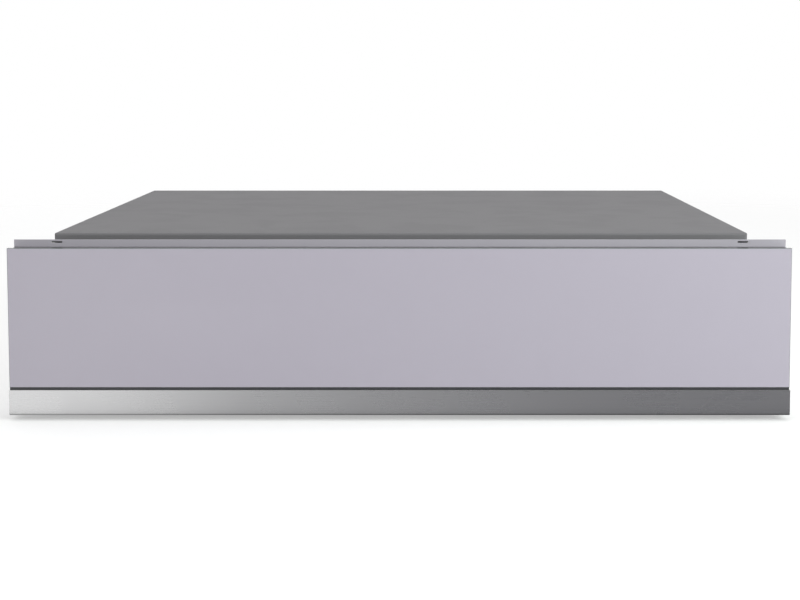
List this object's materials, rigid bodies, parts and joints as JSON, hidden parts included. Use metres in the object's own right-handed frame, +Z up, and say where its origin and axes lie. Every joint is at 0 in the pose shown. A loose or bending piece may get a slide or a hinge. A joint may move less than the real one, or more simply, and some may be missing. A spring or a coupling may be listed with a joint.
{
  "type": "vacuum sealing drawer",
  "caption": "Built-in vacuum sealing drawer with a glass front, ball slides, a chamber under a hinged glass lid, a lifting sealing bar and a pump bay.",
  "frame": {"origin": "centre of the footprint at floor level, with the drawer closed", "axes": "+Z up, the drawer's front faces -Y and it opens towards -Y, +X to the right seen from the front"},
  "size_m": [0.595, 0.55, 0.1365],
  "materials": {
    "housing_base": "galvanised sheet",
    "base_pads": "matte black rubber",
    "housing_side_right": "galvanised sheet",
    "housing_side_left": "galvanised sheet",
    "housing_back": "galvanised sheet",
    "mains_gland": "moulded black nylon",
    "top_cover": "grey coated sheet",
    "front_bumpers": "soft black rubber",
    "outer_rail_right": "zinc plated rolled steel",
    "outer_rail_left": "zinc plated rolled steel",
    "latch_bodies": "moulded nylon",
    "inner_rail_right": "zinc plated rolled steel",
    "inner_rail_left": "zinc plated rolled steel",
    "front_gussets": "folded sheet",
    "front_glass": "back-lacquered toughened glass",
    "front_strip": "brushed stainless steel",
    "seam_gasket": "dark extruded gasket",
    "front_carrier": "grey coated sheet",
    "front_back_plate": "stainless sheet",
    "drawer_tray": "folded sheet",
    "deck_plate": "brushed stainless steel",
    "bay_cover": "brushed stainless steel",
    "control_glass": "black printed glass",
    "control_board": "green circuit board",
    "chamber_tub": "deep-drawn stainless steel",
    "chamber_rim": "machined stainless steel",
    "chamber_seal": "moulded silicone",
    "chamber_posts": "turned steel",
    "suction_port": "turned aluminium",
    "lift_cylinders": "turned aluminium",
    "hinge_brackets": "machined stainless steel",
    "hinge_pins": "ground steel",
    "pump_motor": "cast aluminium",
    "pump_crankcases": "cast aluminium",
    "pump_heads": "cast aluminium with fins",
    "pump_mounts": "rubber mounts",
    "fan_shroud": "moulded nylon",
    "valve_block": "machined aluminium",
    "solenoid_coils": "moulded coils",
    "hoses": "translucent silicone",
    "transformer": "film-wrapped winding",
    "transformer_clamp": "zinc plated",
    "power_board": "green circuit board",
    "board_parts": "moulded components",
    "middle_rail_right": "zinc plated rolled steel",
    "middle_rail_left": "zinc plated rolled steel",
    "outer_ball_cage_right": "stamped strip",
    "outer_ball_cage_left": "stamped strip",
    "inner_ball_cage_right": "stamped strip",
    "inner_ball_cage_left": "stamped strip",
    "lid_glass": "toughened glass",
    "counter_bar": "red silicone",
    "lid_grip": "folded stainless steel",
    "lid_hinge_arms": "machined stainless steel",
    "sealing_bar": "heat-proof resin",
    "heating_band": "resistance strip",
    "latch_plunger_right": "moulded acetal",
    "latch_plunger_left": "moulded acetal",
    "fan_rotor": "moulded nylon on a steel shaft"
  },
  "bodies": {
    "casing": {"housing_base": "housing_base", "base_pads": "base_pads", "housing_side_right": "housing_side_right", "housing_side_left": "housing_side_left", "housing_back": "housing_back", "mains_gland": "mains_gland", "top_cover": "top_cover", "front_bumpers": "front_bumpers", "outer_rail_right": "outer_rail_right", "outer_rail_left": "outer_rail_left", "latch_bodies": "latch_bodies"},
    "drawer": {"inner_rail_right": "inner_rail_right", "inner_rail_left": "inner_rail_left", "front_gussets": "front_gussets", "front_glass": "front_glass", "front_strip": "front_strip", "seam_gasket": "seam_gasket", "front_carrier": "front_carrier", "front_back_plate": "front_back_plate", "drawer_tray": "drawer_tray", "deck_plate": "deck_plate", "bay_cover": "bay_cover", "control_glass": "control_glass", "control_board": "control_board", "chamber_tub": "chamber_tub", "chamber_rim": "chamber_rim", "chamber_seal": "chamber_seal", "chamber_posts": "chamber_posts", "suction_port": "suction_port", "lift_cylinders": "lift_cylinders", "hinge_brackets": "hinge_brackets", "hinge_pins": "hinge_pins", "pump_motor": "pump_motor", "pump_crankcases": "pump_crankcases", "pump_heads": "pump_heads", "pump_mounts": "pump_mounts", "fan_shroud": "fan_shroud", "valve_block": "valve_block", "solenoid_coils": "solenoid_coils", "hoses": "hoses", "transformer": "transformer", "transformer_clamp": "transformer_clamp", "power_board": "power_board", "board_parts": "board_parts"},
    "middle_rail_right": {"middle_rail_right": "middle_rail_right"},
    "middle_rail_left": {"middle_rail_left": "middle_rail_left"},
    "outer_ball_cage_right": {"outer_ball_cage_right": "outer_ball_cage_right"},
    "outer_ball_cage_left": {"outer_ball_cage_left": "outer_ball_cage_left"},
    "inner_ball_cage_right": {"inner_ball_cage_right": "inner_ball_cage_right"},
    "inner_ball_cage_left": {"inner_ball_cage_left": "inner_ball_cage_left"},
    "lid": {"lid_glass": "lid_glass", "counter_bar": "counter_bar", "lid_grip": "lid_grip", "lid_hinge_arms": "lid_hinge_arms"},
    "sealing_bar": {"sealing_bar": "sealing_bar", "heating_band": "heating_band"},
    "latch_plunger_right": {"latch_plunger_right": "latch_plunger_right"},
    "latch_plunger_left": {"latch_plunger_left": "latch_plunger_left"},
    "fan_rotor": {"fan_rotor": "fan_rotor"}
  },
  "joints": [
    {"name": "drawer_slide", "type": "slide", "parent": "casing", "child": "drawer", "axis": [0, -1, 0], "range_m": [0, 0.46]},
    {"name": "middle_rail_right_slide", "type": "slide", "parent": "casing", "child": "middle_rail_right", "axis": [0, -1, 0], "range_m": [0, 0.23]},
    {"name": "outer_ball_cage_right_slide", "type": "slide", "parent": "casing", "child": "outer_ball_cage_right", "axis": [0, -1, 0], "range_m": [0, 0.115]},
    {"name": "inner_ball_cage_right_slide", "type": "slide", "parent": "casing", "child": "inner_ball_cage_right", "axis": [0, -1, 0], "range_m": [0, 0.345]},
    {"name": "middle_rail_left_slide", "type": "slide", "parent": "casing", "child": "middle_rail_left", "axis": [0, -1, 0], "range_m": [0, 0.23]},
    {"name": "outer_ball_cage_left_slide", "type": "slide", "parent": "casing", "child": "outer_ball_cage_left", "axis": [0, -1, 0], "range_m": [0, 0.115]},
    {"name": "inner_ball_cage_left_slide", "type": "slide", "parent": "casing", "child": "inner_ball_cage_left", "axis": [0, -1, 0], "range_m": [0, 0.345]},
    {"name": "lid_hinge", "type": "hinge", "parent": "drawer", "child": "lid", "pos_m": [0, 0.0647, 0.09], "axis": [-1, 0, 0], "range_deg": [0, 50.09]},
    {"name": "sealing_bar_lift", "type": "slide", "parent": "drawer", "child": "sealing_bar", "axis": [0, 0, 1], "range_m": [0, 0.005]},
    {"name": "latch_press_right", "type": "slide", "parent": "casing", "child": "latch_plunger_right", "axis": [0, 1, 0], "range_m": [0, 0.003], "stiffness_N_per_m": 400},
    {"name": "latch_press_left", "type": "slide", "parent": "casing", "child": "latch_plunger_left", "axis": [0, 1, 0], "range_m": [0, 0.003], "stiffness_N_per_m": 400},
    {"name": "fan_spin", "type": "hinge", "parent": "drawer", "child": "fan_rotor", "pos_m": [-0.208, 0.1868, 0.06], "axis": [1, 0, 0], "continuous": true}
  ],
  "couplings": [
    {"joint": "middle_rail_right_slide", "follows": "drawer_slide", "ratio": 0.5},
    {"joint": "outer_ball_cage_right_slide", "follows": "drawer_slide", "ratio": 0.25},
    {"joint": "inner_ball_cage_right_slide", "follows": "drawer_slide", "ratio": 0.75},
    {"joint": "middle_rail_left_slide", "follows": "drawer_slide", "ratio": 0.5},
    {"joint": "outer_ball_cage_left_slide", "follows": "drawer_slide", "ratio": 0.25},
    {"joint": "inner_ball_cage_left_slide", "follows": "drawer_slide", "ratio": 0.75},
    {"joint": "lid_hinge", "follows": "drawer_slide", "rad_per_m": 1.9},
    {"joint": "latch_press_left", "follows": "latch_press_right", "ratio": 1}
  ]
}
